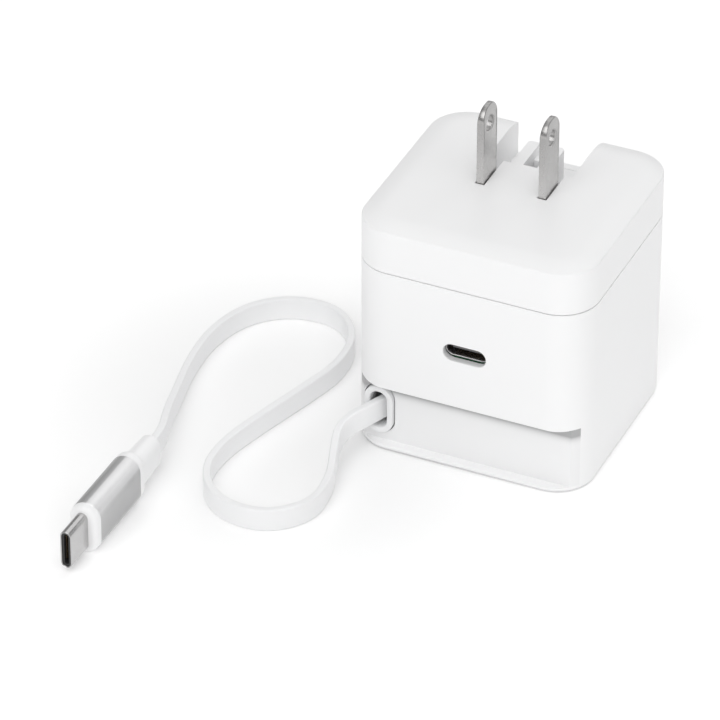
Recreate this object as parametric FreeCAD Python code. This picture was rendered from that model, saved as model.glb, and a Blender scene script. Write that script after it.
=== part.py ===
"""Cube-shaped USB-C wall charger with a folding two-blade plug and a flat lead on a reel.

Millimetres.  The origin is the middle of the underside, +X to the right along the front face,
+Y to the back and +Z up, towards the plug.  The front face holds the socket and the lead's eyelet.
"""
import FreeCAD
import Part
import math
import os

V = FreeCAD.Vector
X_AXIS, Y_AXIS, Z_AXIS = V(1, 0, 0), V(0, 1, 0), V(0, 0, 1)
os.makedirs("parts", exist_ok=True)

# Shell
body_width = 47.8
body_depth = 46.0
corner_radius = 7.8
top_plane = 51.0
crown_inset = 4.8
crown_drop = 1.2
seam_height = 40.9
seam_gap = 0.2
wall = 1.8
crown_wall = 1.0
skirt_depth = 2.5
skirt_wall = 1.2
foot_round = 0.5
fit_gap = 0.1

# Recessed band, low on the front
band_depth = 2.0
band_bottom = 1.2
band_top = 14.4
band_wall = 1.6

# Eyelet that the lead comes out of
eyelet_width = 5.9
eyelet_height = 10.6
eyelet_wall = 1.2
eyelet_side_inset = 5.7
eyelet_centre_z = 8.3
eyelet_stands_out = 0.9
eyelet_length = 3.0

# Base plate, deck and their screws
base_thickness = 2.0
deck_underside = 14.0
deck_thickness = 1.2
screw_radius = 0.95
screw_length = 5.8
screw_head_radius = 1.9
screw_head_height = 1.2
boss_radius = 2.0
boss_wall_gap = 0.7
boss_rib_half = 1.0
boss_front_inset = 12.8
boss_back_inset = 4.8
deck_post_radius = 1.5
deck_post_side_inset = 6.5
deck_post_front_inset = 7.5
deck_post_back_inset = 9.5

# Folding plug
blade_spacing = 12.7
blade_thickness = 1.55
blade_width = 6.35
blade_length = 15.9
blade_hole_radius = 1.6
blade_hole_height = 11.8
blade_tip_round = 2.7
pivot_y = 1.65
pivot_depth = 4.4
carrier_radius = 3.0
pin_radius = 1.0
pin_play = 0.05
washer_thickness = 0.25
ear_thickness = 1.0
ear_gap = 0.35
ear_top_gap = 0.6
carrier_flat = 0.1
slot_clearance = 0.175
plug_bay_clearance = 0.225
plug_bay_wall = 1.3
bay_front_gap = 0.2
bay_open_from = 7.7
bay_floor_play = 0.325
tray_thickness = 1.3
contact_slot_half_width = 0.85
contact_slot_half_length = 3.0
contact_half_width = 0.6
contact_half_span = 2.7
contact_strip = 0.3
detent_half_width = 3.6
detent_half_span = 2.9
detent_strip = 0.15
spring_foot_gap = 0.1
web_thickness = 1.1
rib_front_gap = 0.35
rib_half_width = 3.75
rib_back = 16.4
rib_round = 0.8
rib_pocket_half = 1.4
rib_pocket_depth = 2.1
rib_pocket_front = 7.95
rib_hole_back = 13.1
rib_hole_floor = 44.4

# Lead, flat and standing on its edge
cable_thickness = 1.5
cable_height = 4.8
cable_bend = 12.0

# Reel
reel_gap = 0.9
reel_centre_y = 1.2
reel_post_radius = 2.0
post_foot = 0.8
reel_bottom = 2.9
lower_flange = 1.5
upper_flange = 0.8
flange_gap = 0.85
hub_radius = 7.5
hub_wall = 0.9
turn_gap = 0.05
floor_gap = 0.3
pivot_boss_wall = 1.5
ball_pad_margin = 2.2
spring_end_gap = 0.3
spring_cover_thickness = 0.8
spring_strip = 0.25
spring_pitch = 0.6
ball_radius = 0.85
ball_orbit = 10.9
ball_travel = 1.0
ball_play = 0.1
slip_board_thickness = 0.8
slip_ring_thickness = 0.1
slip_radii = (9.0, 11.5, 14.0)
slip_ring_half = 0.7
slip_board_margin = 1.5
wiper_half = 0.5
wiper_strip = 0.2
wiper_gap = 0.1
wiper_reach = 1.4

# Socket on the front
socket_centre_z = 26.75
socket_hole_width = 9.7
socket_hole_height = 3.8
socket_shell_width = 8.94
socket_shell_height = 3.16
socket_shell_wall = 0.3
socket_shell_length = 7.3
socket_set_back = 1.5
tongue_width = 6.7
tongue_thickness = 0.7
tongue_set_back = 0.7
socket_board_thickness = 0.8
socket_board_width = 13.0
socket_board_front_gap = 0.3
socket_board_back = 13.0
socket_plug_depth = 2.0
contact_count = 12
contact_pitch = 0.5
contact_width = 0.26
contact_plating = 0.06
riser_pin = 0.6
riser_pitch = 2.0
riser_count = 6

# Electronics
board_gap = 1.6
board_standoff = 2.0
board_thickness = 1.2
transformer_size = (17.0, 14.0, 15.0)
transformer_side_gap = 0.6
transformer_back_gap = 3.2
transformer_foot = 1.5
transformer_leg = 3.2
transformer_yoke = 3.0
bobbin_gap = 0.2
bulk_capacitor_radius = 4.0
bulk_capacitor_height = 16.0
bulk_capacitor_back_gap = 2.4
output_capacitor_radius = 3.15
output_capacitor_height = 9.0
output_capacitor_insets = (9.2, 16.2)
capacitor_gap = 0.4
capacitor_round = 0.4
choke_ring = 3.4
choke_radius = 1.5
choke_side_gap = 5.2
choke_front_inset = 13.0
fuse_size = (4.0, 8.0, 3.8)
fuse_front_inset = 9.5
rectifier_size = (4.6, 6.0, 1.6)
rectifier_front_inset = 18.0
chip_side_gap = 11.8
power_chip_size = (3.6, 4.4, 1.1)
power_chip_places = (-1.8, 3.4)
power_chip_front_inset = 16.5
spreader_wall_gap = 0.9
spreader_side_gap = 6.0
spreader_thickness = 0.8
spreader_fold = 2.0
spreader_height = 17.0
wire_radius = 0.8
wire_end_gap = 0.4

# Connector on the lead's end, lengths from its tail to its tip
relief_length = 8.1
rear_collar_length = 2.2
front_collar_length = 1.7
sleeve_length = 16.5
sleeve_height = 10.6
sleeve_thickness = 6.0
sleeve_wall = 0.6
collar_step = 0.2
collar_plug_depth = 2.0
relief_thickness = 4.5
relief_height = 7.6
plug_length = 6.7
plug_height = 8.25
plug_thickness = 2.4
plug_wall = 0.3
liner_set_back = 0.3
mouth_height = 6.75
mouth_thickness = 0.9
mouth_floor = 0.8
plug_contact_set_back = 1.2
plug_contact_centre = 0.45
connector_board_thickness = 0.8
connector_board_height = 6.4
connector_turn = -1.0

# The lead's route: points of the middle of its section, from inside the eyelet to the connector
route = [
    (-17.35, -18.4, 7.95), (-19.25, -22.8, 7.95), (-22.3, -25.8, 6.5), (-23.4, -29.2, 5.0),
    (-22.0, -34.2, 3.4), (-19.8, -40.5, 2.5), (-19.5, -49.5, 2.45), (-26.6, -56.5, 2.45),
    (-36.8, -55.5, 2.45), (-42.9, -47.9, 2.45), (-43.2, -37.9, 2.45), (-40.0, -26.4, 2.45),
    (-36.6, -15.4, 2.45), (-33.6, -4.7, 2.45), (-35.2, 5.2, 2.45), (-41.6, 11.7, 2.45),
    (-51.3, 11.3, 2.45), (-58.4, 5.3, 2.45), (-61.4, -4.2, 2.45), (-61.0, -15.4, 2.5),
    (-58.4, -27.0, 3.2), (-56.0, -36.8, 4.5), (-53.67, -43.2, 5.25), (-53.75, -47.6, 5.3),
]

# Worked out from the values above
half_width, half_depth = body_width / 2, body_depth / 2
crease_height = top_plane - crown_drop
cavity_x, cavity_back = half_width - wall, half_depth - wall
band_face = -(half_depth - band_depth)
band_inner = band_face + band_wall
deck_top = deck_underside + deck_thickness
board_bottom = deck_top + board_standoff
board_top = board_bottom + board_thickness
pivot = V(0, pivot_y, top_plane - pivot_depth)
blade_x = blade_spacing / 2
blade_inner, blade_outer = blade_x - blade_thickness / 2, blade_x + blade_thickness / 2
plug_bay_half = blade_outer + ear_gap + ear_thickness + plug_bay_clearance
bay_floor = pivot.z - blade_width / 2 - bay_floor_play
bay_front = pivot_y - blade_width / 2 - slot_clearance
web_underside = top_plane - web_thickness
tray_underside = bay_floor - tray_thickness
eyelet_x = -(half_width - eyelet_side_inset)
hub_bottom = reel_bottom + lower_flange
hub_top = hub_bottom + cable_height + 2 * flange_gap
reel_top = hub_top + upper_flange
slip_board_bottom = deck_underside - slip_board_thickness
slip_ring_bottom = slip_board_bottom - slip_ring_thickness
boss_places = [(side * (cavity_x - boss_radius - boss_wall_gap), y)
               for side in (-1, 1)
               for y in (-half_depth + boss_front_inset, cavity_back - boss_back_inset)]
reel_radius = min([cavity_x - reel_gap, cavity_back - reel_centre_y - reel_gap,
                   reel_centre_y - band_inner - reel_gap]
                  + [math.hypot(x, y - reel_centre_y) - boss_radius - reel_gap
                     for x, y in boss_places])
socket_back = -half_depth + socket_set_back + socket_shell_length
socket_board_top = socket_centre_z - socket_shell_height / 2


def save(name, shape):
    """Write one sub-part, after its solids are counted and its form is checked."""
    shape = shape.removeSplitter() if len(shape.Solids) == 1 else shape
    print("%-22s solids %d  volume %9.2f  valid %s"
          % (name, len(shape.Solids), shape.Volume, shape.isValid()))
    shape.exportStep("parts/%s.step" % name)


def block(x0, x1, y0, y1, z0, z1):
    return Part.makeBox(x1 - x0, y1 - y0, z1 - z0, V(x0, y0, z0))


def upright(radius, z0, z1, x=0.0, y=0.0):
    return Part.makeCylinder(radius, z1 - z0, V(x, y, z0), Z_AXIS)


def crosswise(radius, x0, x1, centre):
    """Cylinder along X through the centre's Y and Z."""
    return Part.makeCylinder(radius, x1 - x0, V(x0, centre.y, centre.z), X_AXIS)


def rounded_slab(half_x, half_y, radius, z0, z1):
    """Upright prism of a rectangle with four equal round corners."""
    slab = block(-half_x, half_x, -half_y, half_y, z0, z1)
    corners = [e for e in slab.Edges if abs(e.BoundBox.ZLength - (z1 - z0)) < 1e-6]
    return slab.makeFillet(radius, corners)


def body_slab(inset, z0, z1):
    """The charger's plan, drawn in by an inset, as a prism."""
    return rounded_slab(half_width - inset, half_depth - inset, corner_radius - inset, z0, z1)


def oval(centre_x, centre_z, width, height, y0, y1):
    """Prism along Y of an oval with two half-round ends and straight sides."""
    radius = min(width, height) / 2
    run = abs(height - width) / 2
    along = V(0, 0, run) if height > width else V(run, 0, 0)
    middle = V(centre_x, y0, centre_z)
    ends = [Part.makeCylinder(radius, y1 - y0, middle + s * along, Y_AXIS) for s in (-1, 1)]
    half_x = radius if height > width else run
    half_z = run if height > width else radius
    core = block(centre_x - half_x, centre_x + half_x, y0, y1, centre_z - half_z, centre_z + half_z)
    return core.multiFuse(ends).removeSplitter()


def above_crown():
    """The space above the crowned top, which falls along an arc towards the vertical walls."""
    arc_radius = (crown_inset ** 2 + crown_drop ** 2) / (2 * crown_drop)
    reach = 3.0
    start, rim = V(-crown_inset, 0, top_plane), V(0, 0, crease_height)
    half_drop = arc_radius - math.sqrt(arc_radius ** 2 - crown_inset ** 2 / 4)
    middle = V(-crown_inset / 2, 0, top_plane - half_drop)
    outline = Part.Wire([
        Part.Arc(start, middle, rim).toShape(),
        Part.LineSegment(rim, V(reach, 0, crease_height)).toShape(),
        Part.LineSegment(V(reach, 0, crease_height), V(reach, 0, top_plane + reach)).toShape(),
        Part.LineSegment(V(reach, 0, top_plane + reach),
                         V(-crown_inset, 0, top_plane + reach)).toShape(),
        Part.LineSegment(V(-crown_inset, 0, top_plane + reach), start).toShape()])
    profile = Part.Face(outline)
    pieces = []
    for turn, out, run in ((0, half_width, body_depth), (90, half_depth, body_width),
                           (180, half_width, body_depth), (270, half_depth, body_width)):
        straight = run - 2 * corner_radius
        side = profile.extrude(V(0, straight, 0))
        side.translate(V(out, -straight / 2, 0))
        side.rotate(V(), Z_AXIS, turn)
        corner = profile.copy()
        corner.translate(V(corner_radius, 0, 0))
        corner = corner.revolve(V(), Z_AXIS, 90)
        corner.translate(V(out - corner_radius, straight / 2, 0))
        corner.rotate(V(), Z_AXIS, turn)
        pieces += [side, corner]
    return pieces[0].multiFuse(pieces[1:])


# ---------------------------------------------------------------- shell
def main_housing():
    outer = body_slab(0, 0, seam_height - seam_gap / 2)
    outer = outer.makeFillet(foot_round, [e for e in outer.Edges if e.BoundBox.ZMax < 1e-6])
    cavity = body_slab(wall, -1, seam_height + 1)
    front_strip = block(-half_width, half_width, -half_depth, band_inner, -1, band_top + band_wall)
    shell = outer.cut(cavity.cut(front_strip))
    shell = shell.cut(block(-half_width - 1, half_width + 1, -half_depth - 1, band_face,
                            band_bottom, band_top))
    for x, y in boss_places:
        reach = (cavity_x + 0.5) * (1 if x > 0 else -1)
        boss = upright(boss_radius, base_thickness + fit_gap, deck_underside, x, y)
        bridge = block(min(x, reach), max(x, reach), y - boss_rib_half, y + boss_rib_half,
                       base_thickness + fit_gap, deck_underside)
        hole = upright(screw_radius, deck_top - screw_length - 0.5, deck_underside + 1, x, y)
        shell = shell.fuse(boss.fuse(bridge)).cut(hole)
    shell = shell.cut(oval(0, socket_centre_z, socket_hole_width, socket_hole_height,
                           -half_depth - 1, -half_depth + wall + 1))
    shell = shell.cut(oval(eyelet_x, eyelet_centre_z, eyelet_width + fit_gap,
                           eyelet_height + fit_gap, -half_depth - 1, band_inner + 1))
    return shell


def top_cap():
    low = seam_height + seam_gap / 2
    skirt_low = seam_height - skirt_depth
    ceiling = crease_height - crown_wall
    outer = body_slab(0, low, top_plane).cut(above_crown())
    cap = outer.cut(body_slab(wall, low - 1, ceiling))
    skirt = body_slab(wall + fit_gap, skirt_low, low + 0.5)
    cap = cap.fuse(skirt.cut(body_slab(wall + fit_gap + skirt_wall, skirt_low - 1, low + 1)))
    step = body_slab(wall, low, low + 0.5)
    cap = cap.fuse(step.cut(body_slab(wall + skirt_wall, low - 1, low + 1)))
    bay_outer = plug_bay_half + plug_bay_wall
    block_front = bay_front - bay_front_gap - plug_bay_wall
    cap = cap.fuse(block(-bay_outer, bay_outer, block_front, cavity_back + 0.2, bay_floor,
                         ceiling + 0.2))
    cap = cap.cut(block(-plug_bay_half, plug_bay_half, bay_front - bay_front_gap, half_depth + 1,
                        bay_floor, web_underside))
    cap = cap.cut(block(-plug_bay_half, plug_bay_half, bay_open_from, half_depth + 1, bay_floor,
                        top_plane + 1))
    for side in (-1, 1):
        x0, x1 = blade_inner - slot_clearance, blade_outer + slot_clearance
        cap = cap.cut(block(min(side * x0, side * x1), max(side * x0, side * x1), bay_front,
                            bay_open_from + 1, bay_floor, top_plane + 1))
    return cap.fuse(rib())


def rib():
    """The bar between the two folded blades, with its open pocket and the deep hole in it."""
    front = pivot_y + carrier_radius + rib_front_gap
    bar = block(-rib_half_width, rib_half_width, front, rib_back, bay_floor, top_plane)
    bar = bar.cut(block(-rib_half_width, rib_half_width, front - 1, bay_open_from, web_underside,
                        top_plane + 1))
    corners = [e for e in bar.Edges if e.BoundBox.YMin > rib_back - 1e-6
               and e.BoundBox.ZLength > top_plane - bay_floor - 0.1]
    bar = bar.makeFillet(rib_round, corners)
    pocket = block(-rib_pocket_half, rib_pocket_half, rib_pocket_front, rib_back + 1,
                   top_plane - rib_pocket_depth, top_plane + 1)
    hole = block(-rib_pocket_half, rib_pocket_half, rib_pocket_front, rib_hole_back,
                 rib_hole_floor, top_plane)
    return bar.cut(pocket.fuse(hole))


def base_cover():
    plate = body_slab(wall + fit_gap, 0, base_thickness)
    plate = plate.cut(block(-half_width, half_width, -half_depth, band_inner + fit_gap, -1,
                            base_thickness + 1))
    boss_top = reel_bottom - floor_gap
    boss = upright(reel_post_radius + pivot_boss_wall, base_thickness, boss_top, 0, reel_centre_y)
    reach = ball_travel + ball_pad_margin
    pad = block(ball_orbit - reach, ball_orbit + reach, reel_centre_y - ball_pad_margin,
                reel_centre_y + ball_pad_margin, base_thickness, boss_top)
    track = ball_radius + ball_play
    slot = block(ball_orbit - ball_travel - track, ball_orbit + ball_travel + track,
                 reel_centre_y - track, reel_centre_y + track, ball_centre().z - track, reel_bottom)
    post_hole = upright(reel_post_radius, post_foot, reel_bottom, 0, reel_centre_y)
    return plate.fuse(boss).fuse(pad).cut(slot).cut(post_hole)


def eyelet():
    front = band_face - eyelet_stands_out
    ring = oval(eyelet_x, eyelet_centre_z, eyelet_width, eyelet_height, front,
                front + eyelet_length)
    hole = oval(eyelet_x, eyelet_centre_z, eyelet_width - 2 * eyelet_wall,
                eyelet_height - 2 * eyelet_wall, front - 1, front + eyelet_length + 1)
    return ring.cut(hole)


# ---------------------------------------------------------------- folding plug
def blade(side):
    """Flat blade with a round root on the hinge pin, rounded tip corners and one hole."""
    x0 = side * blade_x - blade_thickness / 2
    tip = top_plane + blade_length
    half = blade_width / 2
    plate = block(x0, x0 + blade_thickness, pivot_y - half, pivot_y + half, pivot.z, tip)
    corners = [e for e in plate.Edges if e.BoundBox.ZMin > tip - 1e-6
               and abs(e.BoundBox.XLength - blade_thickness) < 1e-6]
    plate = plate.makeFillet(blade_tip_round, corners)
    root = crosswise(half, x0, x0 + blade_thickness, pivot)
    hole = crosswise(blade_hole_radius, x0 - 1, x0 + blade_thickness + 1,
                     V(0, pivot_y, top_plane + blade_hole_height))
    bore = crosswise(pin_radius, x0 - 1, x0 + blade_thickness + 1, pivot)
    return plate.fuse(root).cut(hole).cut(bore)


def blade_carrier():
    barrel = crosswise(carrier_radius, -blade_inner, blade_inner, pivot)
    low = block(-blade_inner, blade_inner, -half_depth, half_depth,
                pivot.z - carrier_radius - 1, pivot.z - carrier_radius + carrier_flat)
    front = block(-blade_inner, blade_inner, pivot_y - carrier_radius - 1,
                  pivot_y - carrier_radius + carrier_flat, 0, top_plane)
    bore = crosswise(pin_radius, -blade_inner - 1, blade_inner + 1, pivot)
    return barrel.cut(low).cut(front).cut(bore)


def pin_washers():
    return Part.Compound([
        crosswise(pin_radius * 2, x, x + washer_thickness, pivot).cut(
            crosswise(pin_radius, x - 1, x + 2, pivot))
        for x in (-blade_outer - washer_thickness, blade_outer)])


def hinge_pin():
    reach = blade_outer + ear_gap + ear_thickness
    return crosswise(pin_radius, -reach, reach, pivot)


def plug_tray():
    half = plug_bay_half + plug_bay_wall
    front = bay_front - bay_front_gap - plug_bay_wall
    tray = block(-half, half, front, cavity_back - fit_gap, tray_underside, bay_floor)
    ear_radius = pivot.z - bay_floor - ear_top_gap
    for side in (-1, 1):
        x0 = blade_outer + ear_gap if side > 0 else -blade_outer - ear_gap - ear_thickness
        ear = crosswise(ear_radius, x0, x0 + ear_thickness, pivot)
        foot = block(x0, x0 + ear_thickness, pivot_y - ear_radius, pivot_y + ear_radius,
                     bay_floor, pivot.z)
        tray = tray.fuse(ear.fuse(foot))
        slot_x = side * blade_x
        tray = tray.cut(block(slot_x - contact_slot_half_width, slot_x + contact_slot_half_width,
                              pivot_y - contact_slot_half_length, pivot_y + contact_slot_half_length,
                              tray_underside - 1, bay_floor + 1))
    return tray.cut(crosswise(pin_radius + pin_play, -half, half, pivot))


def arched_strip(x0, x1, half_span, foot_z, crown_z, thickness):
    """Spring strip bent to one arc over its two feet, as wide as x0 to x1."""
    def arc(drop):
        return Part.Arc(V(x0, pivot_y - half_span, foot_z - drop),
                        V(x0, pivot_y, crown_z - drop),
                        V(x0, pivot_y + half_span, foot_z - drop)).toShape()
    upper, lower = arc(0), arc(thickness)
    sides = [Part.LineSegment(upper.Vertexes[i].Point, lower.Vertexes[i].Point).toShape()
             for i in (0, -1)]
    outline = Part.Wire(Part.__sortEdges__([upper, sides[1], lower, sides[0]]))
    return Part.Face(outline).extrude(V(x1 - x0, 0, 0))


def blade_contacts():
    crown = pivot.z - blade_width / 2 - 1.5 * spring_foot_gap
    return Part.Compound([
        arched_strip(s * blade_x - contact_half_width, s * blade_x + contact_half_width,
                     contact_half_span, tray_underside + spring_foot_gap, crown, contact_strip)
        for s in (-1, 1)])


def detent_spring():
    crown = pivot.z - carrier_radius - pin_play
    return arched_strip(-detent_half_width, detent_half_width, detent_half_span,
                        bay_floor + detent_strip, crown, detent_strip)


def mains_leads():
    top = tray_underside - wire_end_gap
    return Part.Compound([upright(wire_radius, board_top, top, s * blade_x, pivot_y)
                          for s in (-1, 1)])


# ---------------------------------------------------------------- reel
def ball_centre():
    return V(ball_orbit, reel_centre_y, reel_bottom - 0.15)


def ring(outer, inner, z0, z1):
    return upright(outer, z0, z1, 0, reel_centre_y).cut(
        upright(inner, z0 - 1, z1 + 1, 0, reel_centre_y))


def reel_spool():
    bore = reel_post_radius + pin_play
    hub_inner = hub_radius - hub_wall
    spool = ring(reel_radius, bore, reel_bottom, hub_bottom)
    spool = spool.fuse(ring(hub_radius, hub_inner, hub_bottom, reel_top))
    spool = spool.fuse(ring(reel_radius, hub_inner, hub_top, reel_top))
    track = ball_radius + ball_play + ball_travel
    return spool.cut(ring(ball_orbit + track, ball_orbit - track, reel_bottom - 1,
                          ball_centre().z + ball_radius + ball_play))


def spring_cover():
    return ring(hub_radius - hub_wall - turn_gap, reel_post_radius + pin_play,
                reel_top - spring_cover_thickness, reel_top)


def reel_spring():
    """Flat strip wound from the post outwards, each half turn an arc a half pitch larger."""
    inner = reel_post_radius + 0.2
    outer = hub_radius - hub_wall - 0.4
    turns = int((outer - inner - spring_strip) / spring_pitch * 2)

    def half_turns(offset):
        edges = []
        for i in range(turns):
            radius = inner + offset + i * spring_pitch / 2
            side = 1 if i % 2 == 0 else -1
            centre_x = 0 if i % 2 == 0 else spring_pitch / 2
            centre = V(centre_x, reel_centre_y, hub_bottom + spring_end_gap)
            edges.append(Part.Arc(centre + V(side * radius, 0, 0), centre + V(0, side * radius, 0),
                                  centre - V(side * radius, 0, 0)).toShape())
        return edges

    inside, outside = half_turns(0), half_turns(spring_strip)
    first = Part.LineSegment(inside[0].Vertexes[0].Point, outside[0].Vertexes[0].Point).toShape()
    last = Part.LineSegment(inside[-1].Vertexes[-1].Point, outside[-1].Vertexes[-1].Point).toShape()
    outline = Part.Wire(Part.__sortEdges__(inside + outside + [first, last]))
    return Part.Face(outline).extrude(V(0, 0, cable_height))


def lead_x():
    """X of the inner lead's straight run, after its bend behind the eyelet."""
    start, nxt = V(*route[0]), V(*route[1])
    heading = math.atan2(start.y - nxt.y, start.x - nxt.x)
    return start.x + cable_bend * (1 - math.cos(math.pi / 2 - heading))


def wound_cable():
    pack_radius = -lead_x() - cable_thickness / 2 - fit_gap
    low = hub_bottom + flange_gap
    return ring(pack_radius, hub_radius + turn_gap, low, low + cable_height)


def inner_lead():
    """From the wound turns, straight to the front and round one bend into the eyelet."""
    start, nxt = V(*route[0]), V(*route[1])
    heading = math.atan2(start.y - nxt.y, start.x - nxt.x)
    turn = math.pi / 2 - heading
    centre = V(start.x - cable_bend * math.cos(turn), start.y + cable_bend * math.sin(turn), 0)

    def at(angle, radius):
        return V(centre.x + radius * math.cos(angle), centre.y - radius * math.sin(angle),
                 start.z - cable_height / 2)

    near, far = cable_bend - cable_thickness / 2, cable_bend + cable_thickness / 2
    top = V(0, reel_centre_y - centre.y, 0)
    edges = [Part.Arc(at(turn, near), at(turn / 2, near), at(0, near)).toShape(),
             Part.LineSegment(at(0, near), at(0, near) + top).toShape(),
             Part.LineSegment(at(0, near) + top, at(0, far) + top).toShape(),
             Part.LineSegment(at(0, far) + top, at(0, far)).toShape(),
             Part.Arc(at(0, far), at(turn / 2, far), at(turn, far)).toShape(),
             Part.LineSegment(at(turn, far), at(turn, near)).toShape()]
    return Part.Face(Part.Wire(edges)).extrude(V(0, 0, cable_height))


def slip_ring_board():
    return ring(slip_radii[-1] + slip_board_margin, slip_radii[0] - slip_board_margin,
                slip_board_bottom, deck_underside)


def slip_rings():
    return Part.Compound([ring(r + slip_ring_half, r - slip_ring_half, slip_ring_bottom,
                               slip_board_bottom) for r in slip_radii])


def slip_wipers():
    """One spring finger to each ring, fixed to the upper flange: a pad, a riser and a tip."""
    fingers = []
    y = reel_centre_y - 2 * wiper_strip
    tip_top = slip_ring_bottom - wiper_gap
    for radius in slip_radii:
        x0, x1 = radius - wiper_half, radius + wiper_half
        pad = block(x0, x1, y, y + 2.4, reel_top, reel_top + wiper_strip)
        riser = block(x0, x1, y, y + wiper_strip, reel_top, tip_top)
        tip = block(x0, x1, y - wiper_reach, y + wiper_strip, tip_top - wiper_strip, tip_top)
        fingers.append(pad.multiFuse([riser, tip]).removeSplitter())
    return Part.Compound(fingers)


# ---------------------------------------------------------------- deck and electronics
def mid_deck():
    deck = body_slab(wall + fit_gap, deck_underside, deck_top)
    deck = deck.cut(block(-half_width, half_width, -half_depth, band_inner + fit_gap,
                          deck_underside - 1, deck_top + 1))
    for x, y in boss_places:
        deck = deck.cut(upright(screw_radius + 0.15, deck_underside - 1, deck_top + 1, x, y))
    for side in (-1, 1):
        for y in (-half_depth + deck_post_front_inset, cavity_back - deck_post_back_inset):
            deck = deck.fuse(upright(deck_post_radius, deck_top, board_bottom,
                                     side * (cavity_x - deck_post_side_inset), y))
    return deck


def deck_screws():
    return Part.Compound([
        upright(screw_radius, deck_top - screw_length, deck_top, x, y).fuse(
            upright(screw_head_radius, deck_top, deck_top + screw_head_height, x, y))
        for x, y in boss_places])


def main_board():
    return rounded_slab(cavity_x - board_gap, half_depth - wall - board_gap,
                        corner_radius - wall - board_gap, board_bottom, board_top)


def transformer():
    """Ferrite frame round a taped winding, standing at the back right of the board."""
    size_x, size_y, size_z = transformer_size
    x1, y1 = cavity_x - board_gap - transformer_side_gap, cavity_back - transformer_back_gap
    x0, y0 = x1 - size_x, y1 - size_y
    z0, z1 = board_top + transformer_foot, board_top + size_z
    core = block(x0, x1, y0 + 2, y1 - 2, z0, z1)
    window = block(x0 + transformer_leg, x1 - transformer_leg, y0, y1,
                   z0 + transformer_yoke, z1 - transformer_yoke)
    leg, yoke = transformer_leg + bobbin_gap, transformer_yoke + bobbin_gap
    bobbin = block(x0 + leg, x1 - leg, y0, y1, z0 + yoke, z1 - yoke)
    core = core.cut(window)
    for x in (x0 + 1, x1 - 2.2):
        core = core.fuse(block(x, x + 1.2, y0 + 2.2, y1 - 2.2, board_top, z0))
    return core, bobbin


def capacitors(radius, height, places):
    cans = []
    for x, y in places:
        can = upright(radius, board_top + capacitor_gap, board_top + height, x, y)
        can = can.makeFillet(capacitor_round, [can.Edges[0], can.Edges[2]])
        foot = upright(radius * 0.6, board_top, board_top + 2 * capacitor_gap, x, y)
        cans.append(can.fuse(foot))
    return Part.Compound(cans)


def bulk_capacitors():
    x = -(cavity_x - board_gap - bulk_capacitor_radius - capacitor_gap)
    first = cavity_back - board_gap - bulk_capacitor_radius - bulk_capacitor_back_gap
    step = 2 * bulk_capacitor_radius + capacitor_gap
    return capacitors(bulk_capacitor_radius, bulk_capacitor_height,
                      [(x, first), (x, first - step), (x + step, first)])


def output_capacitors():
    x = cavity_x - board_gap - output_capacitor_radius - 1.25
    return capacitors(output_capacitor_radius, output_capacitor_height,
                      [(x, -half_depth + inset) for inset in output_capacitor_insets])


def line_choke():
    x, y = -(cavity_x - board_gap - choke_side_gap), -half_depth + choke_front_inset
    core = Part.makeTorus(choke_ring, choke_radius,
                          V(x, y, board_top + choke_ring + choke_radius + 0.1), X_AXIS)
    foot = block(x - choke_radius, x + choke_radius, y - 3.0, y + 3.0, board_top, board_top + 1.2)
    return core.fuse(foot.cut(core))


def on_board(x, y, size):
    """A boxed component of a size, centred on a place on the board."""
    return block(x - size[0] / 2, x + size[0] / 2, y - size[1] / 2, y + size[1] / 2,
                 board_top, board_top + size[2])


def fuse_body():
    return on_board(-(cavity_x - board_gap - chip_side_gap), -half_depth + fuse_front_inset, fuse_size)


def rectifier():
    return on_board(-(cavity_x - board_gap - chip_side_gap), -half_depth + rectifier_front_inset,
                    rectifier_size)


def power_chips():
    half_x, half_y = power_chip_size[0] / 2, power_chip_size[1] / 2
    return Part.Compound([on_board(x + half_x, -half_depth + power_chip_front_inset + half_y,
                                   power_chip_size) for x in power_chip_places])


def heat_spreader():
    y1 = cavity_back - spreader_wall_gap
    x = cavity_x - board_gap - spreader_side_gap
    top = board_top + spreader_height
    plate = block(-x, x, y1 - spreader_thickness, y1, board_top + 0.3, top)
    fold = block(-x, x, y1 - spreader_fold, y1, top, top + spreader_thickness)
    return plate.fuse(fold)


# ---------------------------------------------------------------- socket
def socket_shell():
    front = -half_depth + socket_set_back
    tube = oval(0, socket_centre_z, socket_shell_width, socket_shell_height, front, socket_back)
    hollow = oval(0, socket_centre_z, socket_shell_width - 2 * socket_shell_wall,
                  socket_shell_height - 2 * socket_shell_wall, front - 1, socket_back + 1)
    return tube.cut(hollow)


def socket_tongue():
    front = -half_depth + socket_set_back + tongue_set_back
    half = tongue_thickness / 2
    tongue = block(-tongue_width / 2, tongue_width / 2, front, socket_back - 1,
                   socket_centre_z - half, socket_centre_z + half)
    rear = oval(0, socket_centre_z, socket_shell_width - 2 * socket_shell_wall,
                socket_shell_height - 2 * socket_shell_wall, socket_back - socket_plug_depth,
                socket_back)
    return tongue.fuse(rear)


def contact_row(middle):
    """Middles of the contacts in one row."""
    return [middle + (i - (contact_count - 1) / 2) * contact_pitch for i in range(contact_count)]


def socket_contacts():
    front = -half_depth + socket_set_back + tongue_set_back + 0.6
    back = socket_back - socket_plug_depth - 0.2
    half, reach = tongue_thickness / 2, contact_width / 2
    return Part.Compound([
        block(x - reach, x + reach, front, back, z0, z0 + contact_plating)
        for x in contact_row(0)
        for z0 in (socket_centre_z + half, socket_centre_z - half - contact_plating)])


def socket_board():
    half = socket_board_width / 2
    return block(-half, half, -half_depth + wall + socket_board_front_gap,
                 -half_depth + socket_board_back, socket_board_top - socket_board_thickness,
                 socket_board_top)


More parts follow.
